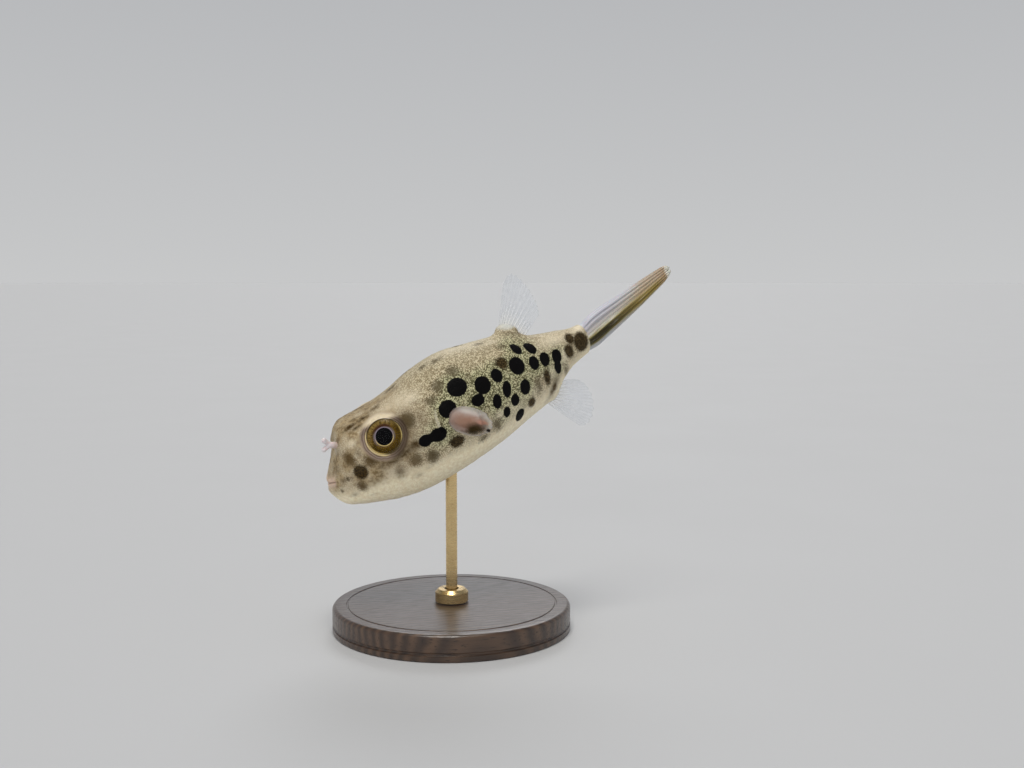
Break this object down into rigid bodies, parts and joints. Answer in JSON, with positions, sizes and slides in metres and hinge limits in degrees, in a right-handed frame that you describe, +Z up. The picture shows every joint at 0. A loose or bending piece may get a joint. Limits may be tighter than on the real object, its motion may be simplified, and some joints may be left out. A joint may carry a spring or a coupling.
{
  "type": "spotted freshwater pufferfish model",
  "caption": "Life-size spotted freshwater pufferfish, swimming nose down with its tail fin closed, on a round base with a thin rod.",
  "frame": {"origin": "centre of the underside of the round stand base, where it rests on the floor", "axes": "+Z up; the fish's nose points towards -X and down, its left side faces -Y"},
  "size_m": [0.0725, 0.046, 0.0702],
  "materials": {
    "skin": "moist satin skin, gold-beige with black spots, cream below",
    "ray_fin": "satin, fine closed rays, pale above and olive-brown below",
    "clear_fin": "thin clear membrane with pale rays",
    "fleshy_fin": "pinkish translucent flesh with a clear margin",
    "eye": "polished, gold iris, black pupil, clear dome",
    "tentacle": "pinkish white soft skin",
    "base_wood": "dark stained hardwood, satin varnish",
    "rod_brass": "brushed"
  },
  "bodies": {
    "root": {"head": "skin", "trunk": "skin", "tail": "skin", "tail_fin": "ray_fin", "dorsal_fin": "clear_fin", "anal_fin": "clear_fin", "pectoral_fin_left": "fleshy_fin", "pectoral_fin_right": "fleshy_fin", "eye_left": "eye", "eye_right": "eye", "nasal_tentacle_left": "tentacle", "nasal_tentacle_right": "tentacle", "stand_base": "base_wood", "stand_collar": "rod_brass", "stand_rod": "rod_brass"}
  },
  "joints": []
}
